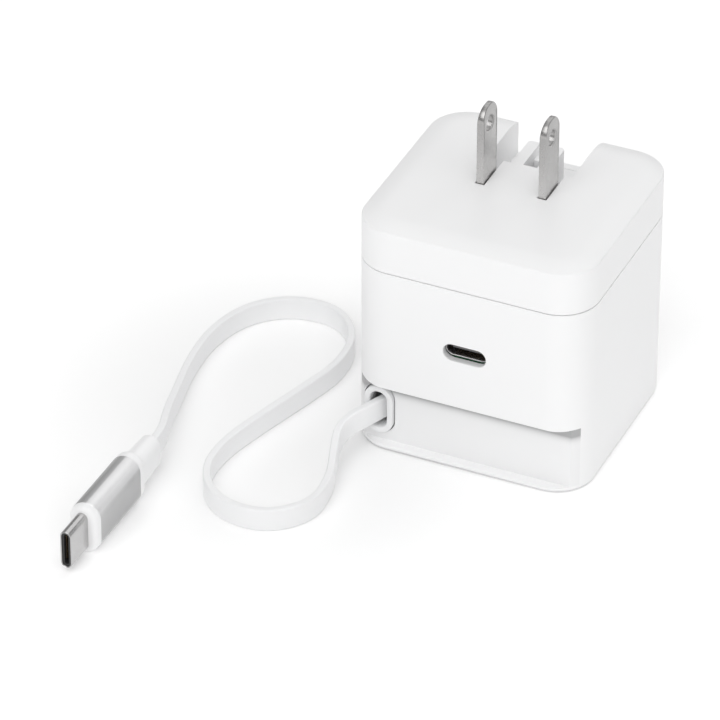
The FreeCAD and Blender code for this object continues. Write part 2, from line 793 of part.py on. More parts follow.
def riser_pins():
    top = socket_board_top - socket_board_thickness
    half = riser_pin / 2
    y = -half_depth + socket_board_back - 1.5
    places = [(i - (riser_count - 1) / 2) * riser_pitch for i in range(riser_count)]
    return Part.Compound([block(x - half, x + half, y - half, y + half, board_top, top)
                          for x in places])


# ---------------------------------------------------------------- lead and connector
def flat_cable():
    """The band swept along straight runs and tangent arcs, its section kept upright."""
    points = [V(*p) for p in route]
    edges, start = [], points[0]
    for before, corner, after in zip(points, points[1:], points[2:]):
        back, ahead = (before - corner), (after - corner)
        shorter = min(back.Length, ahead.Length)
        back.normalize()
        ahead.normalize()
        half_turn = (math.pi - back.getAngle(ahead)) / 2
        radius = 0.45 * shorter / math.tan(half_turn)
        print("cord arc radius %.1f, turn %.0f" % (radius, math.degrees(2 * half_turn)))
        reach = 0.45 * shorter
        enter, leave = corner + back * reach, corner + ahead * reach
        centre_way = (back + ahead).normalize()
        middle = corner + centre_way * (radius / math.cos(half_turn) - radius)
        edges.append(Part.LineSegment(start, enter).toShape())
        edges.append(Part.Arc(enter, middle, leave).toShape())
        start = leave
    edges.append(Part.LineSegment(start, points[-1]).toShape())
    length = sum(e.Length for e in edges)
    across = (points[1] - points[0]).cross(Z_AXIS).normalize() * (cable_thickness / 2)
    up = Z_AXIS * (cable_height / 2)
    corners = [points[0] + across * s + up * t for s, t in ((1, 1), (-1, 1), (-1, -1), (1, -1))]
    section = Part.makePolygon(corners + corners[:1])
    sweep = Part.BRepOffsetAPI.MakePipeShell(Part.Wire(edges))
    sweep.setBiNormalMode(Z_AXIS)
    sweep.add(section)
    sweep.build()
    sweep.makeSolid()
    band = sweep.shape()
    print("cord length %.1f, volume over section times length %.4f"
          % (length, band.Volume / (length * cable_thickness * cable_height)))
    return band


def on_connector(shape):
    """Carry a piece drawn with its tail at the origin, pointing to -Y, to the lead's end."""
    shape.rotate(V(), Z_AXIS, connector_turn)
    shape.translate(V(*route[-1]))
    return shape


def grip(height, thickness, y0, y1):
    return oval(0, 0, thickness, height, y0, y1)


def connector_parts():
    collar_at = -relief_length
    sleeve_at = collar_at - rear_collar_length
    front_at = sleeve_at - sleeve_length
    plug_at = front_at - front_collar_length
    tip = plug_at - plug_length
    inner_height = sleeve_height - 2 * sleeve_wall
    inner_thickness = sleeve_thickness - 2 * sleeve_wall
    collar_height, collar_thickness = sleeve_height - collar_step, sleeve_thickness - collar_step
    bore_height, bore_thickness = plug_height - 2 * plug_wall, plug_thickness - 2 * plug_wall
    root = front_at + collar_plug_depth
    relief = grip(relief_height, relief_thickness, collar_at, 0)
    rear = grip(collar_height, collar_thickness, sleeve_at, collar_at)
    rear = rear.fuse(grip(inner_height, inner_thickness, sleeve_at - collar_plug_depth, sleeve_at))
    sleeve = grip(sleeve_height, sleeve_thickness, front_at, sleeve_at)
    sleeve = sleeve.cut(grip(inner_height, inner_thickness, front_at - 1, sleeve_at + 1))
    front = grip(collar_height, collar_thickness, plug_at, front_at)
    front = front.fuse(grip(inner_height, inner_thickness, front_at, root))
    front = front.cut(grip(plug_height, plug_thickness, plug_at - 1, root + 1))
    shell = grip(plug_height, plug_thickness, tip, root)
    shell = shell.cut(grip(bore_height, bore_thickness, tip - 1, root + 1))
    mouth = grip(mouth_height, mouth_thickness, tip - 1, plug_at + mouth_floor)
    liner = grip(bore_height, bore_thickness, tip + liner_set_back, root).cut(mouth)
    half_board, half_height = connector_board_thickness / 2, connector_board_height / 2
    board = block(-half_board, half_board, root, sleeve_at - collar_plug_depth,
                  -half_height, half_height)
    reach = contact_width / 2
    contacts = [block(s * plug_contact_centre - contact_plating, s * plug_contact_centre
                      + contact_plating, tip + plug_contact_set_back, plug_at, z - reach, z + reach)
                for s in (-1, 1) for z in contact_row(0)]
    contacts = Part.Compound(contacts).common(mouth)
    return {"strain_relief": relief, "rear_collar": rear, "connector_sleeve": sleeve,
            "front_collar": front, "plug_shell": shell, "plug_liner": liner,
            "plug_contacts": contacts, "connector_board": board}


core, winding = transformer()
pieces = {
    "main_housing": main_housing(), "top_cap": top_cap(), "base_cover": base_cover(),
    "cable_eyelet": eyelet(), "blade_left": blade(-1), "blade_right": blade(1),
    "blade_carrier": blade_carrier(), "hinge_pin": hinge_pin(), "pin_washers": pin_washers(),
    "plug_tray": plug_tray(), "detent_spring": detent_spring(), "blade_contacts": blade_contacts(),
    "mains_leads": mains_leads(), "reel_spool": reel_spool(), "spring_cover": spring_cover(),
    "reel_spring": reel_spring(), "wound_cable": wound_cable(), "inner_lead": inner_lead(),
    "reel_post": upright(reel_post_radius, post_foot, slip_board_bottom, 0, reel_centre_y),
    "latch_ball": Part.makeSphere(ball_radius, ball_centre()),
    "slip_ring_board": slip_ring_board(), "slip_rings": slip_rings(),
    "slip_wipers": slip_wipers(), "mid_deck": mid_deck(), "deck_screws": deck_screws(),
    "main_board": main_board(), "transformer_core": core, "transformer_winding": winding,
    "bulk_capacitors": bulk_capacitors(), "output_capacitors": output_capacitors(),
    "line_choke": line_choke(), "fuse_body": fuse_body(), "rectifier": rectifier(),
    "power_chips": power_chips(), "heat_spreader": heat_spreader(),
    "socket_shell": socket_shell(), "socket_tongue": socket_tongue(),
    "socket_contacts": socket_contacts(), "socket_board": socket_board(),
    "riser_pins": riser_pins(), "flat_cable": flat_cable(),
}
for name, shape in connector_parts().items():
    pieces[name] = on_connector(shape)
for name, shape in pieces.items():
    save(name, shape)
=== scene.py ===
"""White cube-shaped wall charger with a folding plug and a flat lead that ends in a metal connector.

Lengths are written in millimetres and turned into metres where a mesh is filled.
"""

import math

import bpy
import numpy as np
from mathutils import Matrix, Vector


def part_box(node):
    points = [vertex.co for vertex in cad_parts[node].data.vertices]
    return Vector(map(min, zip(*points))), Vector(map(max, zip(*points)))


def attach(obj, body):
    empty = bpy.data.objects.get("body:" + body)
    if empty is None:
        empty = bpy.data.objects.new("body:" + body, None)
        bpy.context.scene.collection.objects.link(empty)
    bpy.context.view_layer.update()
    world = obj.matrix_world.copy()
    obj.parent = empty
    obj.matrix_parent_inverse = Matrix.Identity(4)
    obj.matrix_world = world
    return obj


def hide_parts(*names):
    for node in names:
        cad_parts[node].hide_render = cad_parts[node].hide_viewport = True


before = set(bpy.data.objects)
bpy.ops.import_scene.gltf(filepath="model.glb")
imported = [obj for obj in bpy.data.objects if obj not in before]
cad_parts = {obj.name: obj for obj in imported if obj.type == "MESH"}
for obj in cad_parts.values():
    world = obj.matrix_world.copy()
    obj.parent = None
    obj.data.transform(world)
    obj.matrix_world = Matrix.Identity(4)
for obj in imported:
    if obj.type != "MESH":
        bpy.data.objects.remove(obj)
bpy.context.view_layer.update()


# ------------------------------------------------------------------ camera and room
# The charger stands on a plain pale table among four broad soft lamps. The camera looks down at it
# from the front, a little to the right, through a long lens. Its turn and rise are in degrees, and
# its place is a distance back, then steps to its own right and up.
camera_turn, camera_rise = math.radians(24.256), math.radians(34.965)
camera_distance, camera_step_right, camera_step_up = 1092.144, -29.001, 9.169
camera_back = Vector((math.sin(camera_turn) * math.cos(camera_rise),
                      -math.cos(camera_turn) * math.cos(camera_rise), math.sin(camera_rise)))
camera_right = Vector((math.cos(camera_turn), math.sin(camera_turn), 0))
camera_up = camera_back.cross(camera_right)
camera = bpy.data.objects.new("camera", bpy.data.cameras.new("camera"))
bpy.context.scene.collection.objects.link(camera)
camera.data.sensor_width = 36
camera.data.lens = 281.9035
camera.data.clip_start, camera.data.clip_end = 0.05, 20
camera_axes = Matrix((camera_right, camera_up, camera_back)).transposed()
camera.matrix_world = camera_axes.to_4x4()
camera.location = (camera_back * camera_distance + camera_right * camera_step_right
                   + camera_up * camera_step_up) / 1000
bpy.context.scene.camera = camera
bpy.context.scene.view_settings.view_transform = "Standard"


class Wire:
    """One output of a finish's nodes. Arithmetic on it adds Math nodes, and node() adds any other."""

    def __init__(self, tree, socket=None):
        self.tree, self.socket = tree, socket

    def node(self, kind, settings=(), inputs=(), out=0):
        """A node of a kind, its settings made first, then its sockets set or linked, by name."""
        made = self.tree.nodes.new(kind)
        for name, value in dict(settings).items():
            if name == "stops":
                ramp = made.color_ramp
                for place, colour in value[2:]:
                    ramp.elements.new(place)
                for element, (place, colour) in zip(ramp.elements, sorted(value)):
                    element.position, element.color = place, (*colour, 1)
            else:
                setattr(made, name, value)
        for name, value in dict(inputs).items():
            socket = made.inputs[name]
            if isinstance(value, Wire):
                self.tree.links.new(value.socket, socket)
            else:
                socket.default_value = value
        return Wire(self.tree, made.outputs[out])

    def math(self, operation, first, second=0.0):
        return self.node("ShaderNodeMath", {"operation": operation}, {0: first, 1: second})

    def __add__(self, other):
        return self.math("ADD", self, other)

    def __sub__(self, other):
        return self.math("SUBTRACT", self, other)

    def __rsub__(self, other):
        return self.math("SUBTRACT", other, self)

    def __mul__(self, other):
        return self.math("MULTIPLY", self, other)

    __radd__, __rmul__ = __add__, __mul__

    def blend(self, low, high):
        """The colour that goes from low to high as this value goes from 0 to 1."""
        return self.node("ShaderNodeMix", {"data_type": "RGBA"},
                         {0: self, 6: (*low, 1), 7: (*high, 1)}, 2)


def finish(name, metallic=0.0, **fixed):
    """A new material; returns it, its shader node and the wire of the piece's own coordinates."""
    material = bpy.data.materials.new(name)
    material.use_nodes = True
    tree = material.node_tree
    shader = tree.nodes["Principled BSDF"]
    shader.inputs["Metallic"].default_value = metallic
    for socket, value in fixed.items():
        shader.inputs[socket.replace("_", " ")].default_value = value
    where = Wire(tree).node("ShaderNodeTexCoord", out=3)
    return material, shader, where


def feed(shader, **wires):
    """Link wires to the shader's sockets, or set plain values on them."""
    for socket, value in wires.items():
        target = shader.inputs[socket.replace("_", " ")]
        if isinstance(value, Wire):
            value.tree.links.new(value.socket, target)
        else:
            target.default_value = value


def grain(where, per_metre, detail=2.0, stretch=(1, 1, 1), roughness=0.5):
    """Noise of a given fineness on the piece's coordinates, drawn out along some axes."""
    placed = where.node("ShaderNodeMapping", {}, {"Vector": where, "Scale": stretch})
    return where.node("ShaderNodeTexNoise", {}, {"Vector": placed, "Scale": per_metre,
                                                 "Detail": detail, "Roughness": roughness})


def part_of(where, kind, axis):
    """One part, 0 to 2, of a piece's own coordinates ("Object") or of its outward way ("Normal")."""
    source = where.node("ShaderNodeTexCoord", out=3 if kind == "Object" else 1)
    return where.node("ShaderNodeSeparateXYZ", {}, {"Vector": source}, axis)


def tones(value, *stops):
    """The tone at a value from -1 to 1, by stops of (place, tone): -1 is at place 0, 1 at place 1."""
    placed = value * 0.5 + 0.5
    grey = [(place, (tone,) * 3) for place, tone in stops]
    ramp = placed.node("ShaderNodeValToRGB", {"stops": grey}, {"Fac": placed})
    return ramp.node("ShaderNodeSeparateColor", {}, {"Color": ramp})


def within(value, low, high):
    """1 where a value lies between two limits, or else 0."""
    return value.math("GREATER_THAN", value, low) * value.math("LESS_THAN", value, high)


def rising(value, low, high):
    """From 0 to 1 as a value goes from one limit to the other, in either order."""
    return value.node("ShaderNodeMapRange", {}, {"Value": value, "From Min": low, "From Max": high})


def relief(height, depth_mm, strength=1.0):
    """A bump of a given depth from a height that runs from 0 to 1."""
    return height.node("ShaderNodeBump", {}, {"Height": height, "Distance": depth_mm / 1000,
                                              "Strength": strength})


# Painted shadow: the table's colour and glow are lowered round the lead, where shadow falls, and it
# glows faintly further off.
table_finish, table_shader, where = finish("table_top", Roughness=0.9, Emission_Strength=1.0)
from_lead = where.node("ShaderNodeVectorMath", {"operation": "DISTANCE"},
                       {0: where, 1: (-0.038, -0.022, 0)}, 1)
# 0 in the painted shadow by the lead, 1 on the open table.
clear_of_painted_shadow = from_lead.node("ShaderNodeMapRange", {"interpolation_type": "SMOOTHSTEP"},
                        {"Value": from_lead, "From Min": 0.015, "From Max": 0.075})
feed(table_shader, Base_Color=(clear_of_painted_shadow * 0.8 + grain(where, 6) * 0.2).blend((0.89,) * 3, (0.96,) * 3),
     Emission_Color=clear_of_painted_shadow.blend((0.082,) * 3, (0.23,) * 3), Specular_IOR_Level=0.1)
bpy.ops.mesh.primitive_plane_add(size=6)
table_top = bpy.context.object
table_top.name = "table_top"
table_top.data.materials.append(table_finish)

room = bpy.data.worlds.new("room")
room.use_nodes = True
room.node_tree.nodes["Background"].inputs["Color"].default_value = (1, 1, 1, 1)
room.node_tree.nodes["Background"].inputs["Strength"].default_value = 0.365
bpy.context.scene.world = room

lamp_distance, lamp_width = 1.4, 1.2
for lamp_name, turn, rise, watts in (("front_lamp", 0, 49, 8.9), ("right_lamp", 75, 35, 2.3),
                                     ("back_lamp", 180, 45, 3.61), ("top_lamp", 0, 88, 2.3)):
    turn, rise = math.radians(turn), math.radians(rise)
    way = Vector((math.sin(turn) * math.cos(rise), -math.cos(turn) * math.cos(rise), math.sin(rise)))
    lamp = bpy.data.objects.new(lamp_name, bpy.data.lights.new(lamp_name, "AREA"))
    bpy.context.scene.collection.objects.link(lamp)
    lamp.data.energy, lamp.data.size = watts, lamp_width
    lamp.location = way * lamp_distance
    lamp.rotation_mode = "QUATERNION"
    lamp.rotation_quaternion = way.to_track_quat("Z", "Y")


# ------------------------------------------------------------------ flat lead
# The lead is one moulded band of white elastomer, 4.8 by 1.5 mm, that stands on its edge. It comes
# loosely through the eyelet, sinks to the table, and lies there in two open bends.
lead_width, lead_thickness, lead_edge = 4.8, 1.5, 0.35
lead_route = [
    (-17.35, -18.4, 7.95), (-19.25, -22.8, 7.95), (-22.3, -25.8, 6.5), (-23.4, -29.2, 5.0),
    (-22.0, -34.2, 3.4), (-19.8, -40.5, 2.5), (-19.5, -49.5, 2.45), (-26.6, -56.5, 2.45),
    (-36.8, -55.5, 2.45), (-42.9, -47.9, 2.45), (-43.2, -37.9, 2.45), (-40.0, -26.4, 2.45),
    (-36.6, -15.4, 2.45), (-33.6, -4.7, 2.45), (-35.2, 5.2, 2.45), (-41.6, 11.7, 2.45),
    (-51.3, 11.3, 2.45), (-58.4, 5.3, 2.45), (-61.4, -4.2, 2.45), (-61.0, -15.4, 2.5),
    (-58.4, -27.0, 3.2), (-56.0, -36.8, 4.5), (-53.67, -43.2, 5.25), (-53.75, -47.6, 5.3)]


def spline_points(route, per_span=14):
    """Points along the smooth quadratic spline that the route's points pull on, in metres."""
    curve = bpy.data.curves.new("route", "CURVE")
    curve.dimensions = "3D"
    spline = curve.splines.new("NURBS")
    spline.points.add(len(route) - 1)
    for point, place in zip(spline.points, route):
        point.co = (*(value / 1000 for value in place), 1)
    spline.order_u, spline.use_endpoint_u = 3, True
    spline.resolution_u = per_span
    carrier = bpy.data.objects.new("route", curve)
    bpy.context.scene.collection.objects.link(carrier)
    line = bpy.data.meshes.new_from_object(carrier)
    points = np.zeros(len(line.vertices) * 3)
    line.vertices.foreach_get("co", points)
    bpy.data.objects.remove(carrier)
    bpy.data.curves.remove(curve)
    bpy.data.meshes.remove(line)
    return points.reshape(-1, 3)


def rectangle(half_x, half_y, radius, per_corner=8, per_side=1):
    """Points round a rectangle with round corners, anticlockwise, as an array of (x, y)."""
    points = []
    for quarter, (sx, sy) in enumerate(((1, -1), (1, 1), (-1, 1), (-1, -1))):
        angles = np.radians(-90 + 90 * quarter + np.linspace(0, 90, per_corner + 1))
        centre = np.array([sx * (half_x - radius), sy * (half_y - radius)])
        arc = centre + radius * np.stack([np.cos(angles), np.sin(angles)], 1)
        points.append(arc)
    sides = []
    for here, following in zip(points, points[1:] + points[:1]):
        along = np.linspace(0, 1, per_side + 2)[1:-1, None] if per_side > 1 else np.zeros((0, 1))
        sides.append(here[-1] + along * (following[0] - here[-1]))
    return np.concatenate([part for pair in zip(points, sides) for part in pair])


def sheath(name, rings, finish_material, joined=False, sharp=None):
    """A closed mesh from rings of equal points, in mm. Rings are joined in order, and the last to
    the first where joined, or else the two ends are filled. Faces are turned outwards."""
    rings = np.asarray(rings, float)
    count, size = rings.shape[:2]
    index = np.arange(count * size).reshape(count, size)
    lower = index if joined else index[:-1]
    upper = np.roll(index, -1, 0) if joined else index[1:]
    quads = np.stack([lower, np.roll(lower, -1, 1), np.roll(upper, -1, 1), upper], 2).reshape(-1, 4)
    points = rings.reshape(-1, 3)
    a, b, c, d = (points[quads[:, i]] for i in range(4))
    volume = (np.einsum("ij,ij->i", a, np.cross(b, c))
              + np.einsum("ij,ij->i", a, np.cross(c, d))).sum()
    faces = quads.tolist()
    if not joined:
        faces += [index[0][::-1].tolist(), index[-1].tolist()]
        for ring, sign in ((rings[0], -1), (rings[-1], 1)):
            middle = ring.mean(0)
            volume += sign * np.einsum("ij,ij->i", np.broadcast_to(middle, ring.shape),
                                       np.cross(ring, np.roll(ring, -1, 0))).sum()
    if volume < 0:
        faces = [face[::-1] for face in faces]
    mesh = bpy.data.meshes.new(name)
    mesh.from_pydata(points / 1000, [], faces)
    mesh.materials.append(finish_material)
    piece = bpy.data.objects.new(name, mesh)
    bpy.context.scene.collection.objects.link(piece)
    smooth(piece, sharp)
    return piece


def smooth(piece, sharp=None):
    """Shade a piece smooth, except across edges that bend by more than the sharp angle."""
    piece.data.shade_smooth()
    if sharp:
        piece.data.set_sharp_from_angle(angle=math.radians(sharp))


lead_finish, lead_shader, where = finish("lead_elastomer", Roughness=0.5, Specular_IOR_Level=0.45)
cloud = grain(where, 60, 3)
pores = grain(where, 9000, 3)
feed(lead_shader, Base_Color=cloud.blend((0.90, 0.902, 0.908), (0.93, 0.932, 0.936)),
     Roughness=pores * 0.12 + 0.42, Normal=relief(pores, 0.012, 0.5))

lead_line = spline_points(lead_route)
along = np.gradient(lead_line, axis=0)
along /= np.linalg.norm(along, axis=1)[:, None]
sideways = np.cross(along, (0, 0, 1))
sideways /= np.linalg.norm(sideways, axis=1)[:, None]
upwards = np.cross(sideways, along)
lead_section = rectangle(lead_thickness / 2, lead_width / 2, lead_edge, 5, 3)
lead_rings = (lead_line[:, None] * 1000 + lead_section[None, :, :1] * sideways[:, None]
              + lead_section[None, :, 1:] * upwards[:, None])
flat_lead = sheath("flat_lead", lead_rings, lead_finish, sharp=50)
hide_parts("flat_cable")
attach(flat_lead, "root")


# ------------------------------------------------------------------ connector on the lead
# The moulded tail, the two white collars and the aluminium sleeve between them hold the nickel
# plug, which is lined with black plastic and has a row of contacts on each side of its mouth.
def middle_of(node):
    """The middle of a frame node's box, in mm."""
    low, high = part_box(node)
    return np.array((low + high) / 2) * 1000


connector_axis = middle_of("plug_shell") - middle_of("strain_relief")
connector_axis[2] = 0
connector_axis /= np.linalg.norm(connector_axis)
connector_side = np.cross((0, 0, 1), connector_axis)
connector_tail = np.array(lead_route[-1])


def oval(width, height):
    """Points round an oval with half-round ends, as (x, y)."""
    return rectangle(width / 2, height / 2, min(width, height) / 2 * 0.9999, 7)


def along_connector(stations):
    """Rings of ovals across the connector: each station is its distance from the tail, its
    thickness and its height."""
    rings = []
    for distance, thickness, height in stations:
        shape = oval(thickness, height)
        rings.append(connector_tail + connector_axis * distance
                     + shape[:, :1] * connector_side + shape[:, 1:] * np.array([[0, 0, 1.0]]))
    return rings


def rounded_end(distance, thickness, height, radius, inwards, steps=6):
    """Stations of a quarter-round edge at an end: inwards is 1 where the piece lies further on."""
    turns = np.linspace(0, math.pi / 2, steps)
    return [(distance + inwards * radius * (1 - math.sin(t)),
             thickness - 2 * radius * (1 - math.cos(t)), height - 2 * radius * (1 - math.cos(t)))
            for t in turns[::-1]]


white_finish, white_shader, where = finish("collar_plastic", Specular_IOR_Level=0.5)
cloud = grain(where, 90, 3)
feed(white_shader, Base_Color=cloud.blend((0.925, 0.927, 0.93), (0.945, 0.946, 0.95)),
     Roughness=cloud * 0.1 + 0.3, Normal=relief(grain(where, 6000, 2), 0.004, 0.4))

tail_length, rear_length, sleeve_length, front_length, plug_length = 8.1, 2.2, 16.5, 1.7, 6.7
sleeve_height, sleeve_thickness = 10.6, 6.0
sleeve_start = tail_length + rear_length
sleeve_end = sleeve_start + sleeve_length
plug_start = sleeve_end + front_length
plug_tip = plug_start + plug_length

tail_stations = ([(-0.1, 1.8, 5.2)] + rounded_end(0, 4.2, 7.3, 0.6, 1)
                 + [(2.5, 4.35, 7.45), (5.5, 4.6, 7.7), (tail_length + 0.5, 4.9, 8.0)])
lead_tail = sheath("lead_tail", along_connector(tail_stations), white_finish, sharp=50)
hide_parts("strain_relief")
ring_size = (5.86, 10.46)
rear_stations = rounded_end(tail_length, *ring_size, 0.9, 1) + [(sleeve_start + 0.3, *ring_size)]
rear_ring = sheath("rear_ring", along_connector(rear_stations), white_finish, sharp=50)
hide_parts("rear_collar")

sleeve_finish, sleeve_shader, where = finish("anodised_aluminium", metallic=1.0)
blasted = grain(where, 14000, 2)
cloud = grain(where, 150, 2)
# Painted reflection and shade: the sleeve's colour is made lighter or darker by the way its surface
# faces, and darker towards its lower side.
outward, height = part_of(where, "Normal", 0), part_of(where, "Object", 2)
# Painted shade, darker towards the sleeve's lower side.
painted_low_shade = rising(height, 0.011, 0.0)
# Painted reflection, set by which way the surface faces sideways.
tone = tones(outward, (0.0, 0.36), (0.15, 0.5), (0.5, 0.76), (0.85, 0.98), (0.95, 0.85), (1.0, 0.56))
feed(sleeve_shader, Base_Color=(tone - painted_low_shade * 0.12 + blasted * 0.14 + cloud * 0.06 - 0.1).blend(
        (0.0, 0.0, 0.0), (1.0, 1.0, 1.005)),
     Roughness=blasted * 0.12 + 0.4, Normal=relief(blasted, 0.006, 0.6))
sleeve_bevel, sleeve_wall = 0.25, 0.6
inner = (sleeve_thickness - 2 * sleeve_wall, sleeve_height - 2 * sleeve_wall)
outer_stations = (rounded_end(sleeve_start, sleeve_thickness, sleeve_height, sleeve_bevel, 1)
                  + rounded_end(sleeve_end, sleeve_thickness, sleeve_height, sleeve_bevel, -1)[::-1])
sleeve_stations = outer_stations + [(sleeve_end, *inner), (sleeve_start, *inner)]
metal_sleeve = sheath("metal_sleeve", along_connector(sleeve_stations), sleeve_finish, True, 40)
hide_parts("connector_sleeve")

front_stations = ([(sleeve_end - 0.3, *ring_size)]
                  + rounded_end(plug_start, *ring_size, 1.1, -1)[::-1])
front_ring = sheath("front_ring", along_connector(front_stations), white_finish, sharp=50)
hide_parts("front_collar")

plug_finish, plug_shader, where = finish("plug_nickel", metallic=1.0)
brushed = grain(where, 5000, 3)
feed(plug_shader, Base_Color=brushed.blend((0.48, 0.475, 0.475), (0.58, 0.575, 0.575)),
     Roughness=brushed * 0.12 + 0.2, Normal=relief(brushed, 0.002, 0.4))
plug_height, plug_thickness, plug_wall = 8.25, 2.4, 0.3
bore = (plug_thickness - 2 * plug_wall, plug_height - 2 * plug_wall)
shell_stations = ([(plug_start - 0.4, plug_thickness, plug_height)]
                  + rounded_end(plug_tip, plug_thickness, plug_height, 0.18, -1)[::-1]
                  + [(plug_tip - 0.1, *bore), (plug_start - 0.4, *bore)])
plug_tube = sheath("plug_tube", along_connector(shell_stations), plug_finish, True, 45)
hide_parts("plug_shell")

connector_pieces = [lead_tail, rear_ring, metal_sleeve, front_ring, plug_tube]
for piece, slot_name in zip(connector_pieces, ("accent_white", "accent_white", "sleeve_aluminium",
                                               "accent_white", "plug_nickel")):
    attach(piece, "root")


# ------------------------------------------------------------------ main housing
# The lower shell is one moulding of satin white plastic, open at the top and at the foot. Its
# front has a shallow recessed band with an overhanging edge, a hole for the socket and one for
# the eyelet.
half_width, half_depth, seam_top = np.array(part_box("main_housing")[1]) * 1000
front = -half_depth
corner, shell_wall, edge_round = 7.8, 1.8, 0.15
band_low, band_high, band_plane, band_back = 1.2, 14.4, -21.0, -19.4
inner_step = band_high + 1.6
foot_round, lip_round, fillet = 0.9, 0.2, 0.15
socket_z, eyelet_x, eyelet_z = 26.75, -18.2, 8.3

plastic_finish, plastic_shader, where = finish("satin_white_plastic", Specular_IOR_Level=0.5)
cloud = grain(where, 45, 3)
texture = grain(where, 5200, 3)
along_x, along_y, along_z = (part_of(where, "Object", axis) for axis in range(3))

# Painted shade: the recessed band is darkened a little all over, and strongly just under its
# overhanging lip, as that lip's shadow.
in_band = within(along_y, -0.0213, -0.0195) * within(along_z, 0.0013, 0.01445)
near_lip = rising(along_z, 0.0098, 0.0129)
# Painted shade: the tunnel behind the socket hole darkens as it goes in from the front.
in_mouth = (within(along_x, -0.0053, 0.0053) * within(along_z, 0.0245, 0.029)
            * within(along_y, -0.024, -0.018) * rising(along_y, -0.0229, -0.0223))
# Painted contact shadow: the lowest 0.8 mm of the housing darkens towards the table; the flat
# underside is left out.
at_foot = rising(along_z, 0.0008, 0.0) * along_z.math("GREATER_THAN", along_z, 0.00003)
# The painted shades are summed, and they pull the satin white towards dark grey.
shade = (in_band * (near_lip.math("POWER", near_lip, 4.0) + 0.08) + in_mouth * 0.4
         + at_foot * 0.8)
satin = cloud.blend((0.918, 0.919, 0.922), (0.936, 0.937, 0.940))
feed(plastic_shader,
     Base_Color=shade.node("ShaderNodeMix", {"data_type": "RGBA"}, {0: shade, 6: satin,
                                                                    7: (0.42, 0.42, 0.425, 1)}, 2),
     Roughness=cloud * 0.08 + texture * 0.06 + 0.36, Normal=relief(texture, 0.006, 0.5))


def plan_rings(rows):
    """The charger's plan at each row: drawn in by the row's inset, at its height, and flattened at
    the front where it would pass the row's front limit."""
    rings = []
    for inset, z, limit in rows:
        plan = rectangle(half_width - inset, half_depth - inset, corner - inset, 30, 24)
        plan[:, 1] = np.maximum(plan[:, 1], limit)
        rings.append(np.column_stack([plan, np.full(len(plan), z)]))
    return rings


def edge_arc(radius, steps=5):
    """A quarter round as pairs: how far in from the first face, then how far in from the second,
    from the first face, where the first is 0, to the second face, where the second is 0."""
    turns = np.linspace(0, math.pi / 2, steps)
    return [(radius * (1 - math.cos(t)), radius * (1 - math.sin(t))) for t in turns]


def carve(piece, *cutters, operation="DIFFERENCE"):
    """Cut closed shapes out of a piece, or add them, for good; the cutters are thrown away."""
    for cutter in cutters:
        cut = piece.modifiers.new("cut", "BOOLEAN")
        cut.operation, cut.solver, cut.object = operation, "EXACT", cutter
        bpy.context.view_layer.update()
        done = piece.evaluated_get(bpy.context.evaluated_depsgraph_get())
        mesh, old = bpy.data.meshes.new_from_object(done), piece.data
        piece.modifiers.remove(cut)
        piece.data = mesh
        bpy.data.meshes.remove(old)
        bpy.data.objects.remove(cutter)
        mesh.name = piece.name


def even_shading(piece, sharp=35):
    """Smooth shading in which large flat faces stay flat beside their rounded edges."""
    smooth(piece, sharp)
    weigh = piece.modifiers.new("even_shading", "WEIGHTED_NORMAL")
    weigh.keep_sharp, weigh.weight = True, 100


def front_rings(x, z, half_x, half_z, radius, levels):
    """Rings of a rounded rectangle that faces front: each level is its Y and how much wider the
    rectangle is there all round."""
    rings = []
    for y, wider in levels:
        plan = rectangle(half_x + wider, half_z + wider, radius + wider, 12)
        rings.append(np.column_stack([plan[:, 0] + x, np.full(len(plan), y), plan[:, 1] + z]))
    return rings


def flared(face, radius):
    """Levels of a cutter from in front of a face to where its rounded lip ends."""
    return ([(face - 0.6, radius + 0.05), (face - 0.02, radius + 0.05)]
            + [(face + deep, wide) for deep, wide in edge_arc(radius)])


housing_rows = (
    [(shell_wall, 0, band_back)]
    + [(out, up, front) for up, out in edge_arc(foot_round)]
    + [(0, band_low - down, front + back) for back, down in edge_arc(lip_round)]
    + [(0, band_low + up, band_plane - out) for up, out in edge_arc(fillet)]
    + [(0, band_high, band_plane)]
    + [(0, band_high + up, front + back) for back, up in edge_arc(lip_round)[::-1]]
    + [(back, seam_top - down, front) for back, down in edge_arc(edge_round)]
    + [(shell_wall, seam_top, front), (shell_wall, inner_step, front + shell_wall),
       (shell_wall, inner_step, band_back)])
housing = sheath("housing", plan_rings(housing_rows), plastic_finish, True)
socket_hole = front_rings(0, socket_z, 4.4, 1.85, 1.849, flared(front, 0.15) + [
    (front + 1.3, 0), (front + 1.3, 0.25), (front + 3, 0.25)])
eyelet_hole = front_rings(eyelet_x, eyelet_z, 3.2, 5.55, 3.2,
                          [(front - 1, 0), (band_back + 1, 0)])
carve(housing, sheath("cutter", socket_hole, plastic_finish),
      sheath("cutter", eyelet_hole, plastic_finish))
even_shading(housing)
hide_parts("main_housing")


# ------------------------------------------------------------------ top cap
# The cap is a second moulding that snaps into the housing. Its top is slightly crowned, and a bay
# that opens to the back holds the folded blades on either side of a bar with a finger pocket.
cap_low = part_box("top_cap")[0][2] * 1000
cap_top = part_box("top_cap")[1][2] * 1000
cap_seam, crown_inset, crown_drop, crease_round = seam_top + 0.2, 4.8, 1.2, 0.45
crown_radius = (crown_inset ** 2 + crown_drop ** 2) / (2 * crown_drop)
bay_floor, web_low = 43.1, cap_top - 1.1
bay_half, bay_start, slot_in, slot_out, slot_front = 8.7, 7.7, 5.4, 7.3, -1.7
bar_half, bar_back, bar_front, bar_round = 3.75, 16.4, 5.0, 0.8
pocket_half, pocket_front, pocket_back, pocket_deep, pocket_floor = 1.4, 7.95, 13.1, 2.1, 44.4
bay_lip = 0.14


def crown(inset):
    """Height of the crowned top at a distance in from the plan's edge: an arc up to the flat."""
    down = np.clip(crown_inset - inset, 0, None)
    return cap_top - crown_radius + np.sqrt(crown_radius ** 2 - down ** 2)


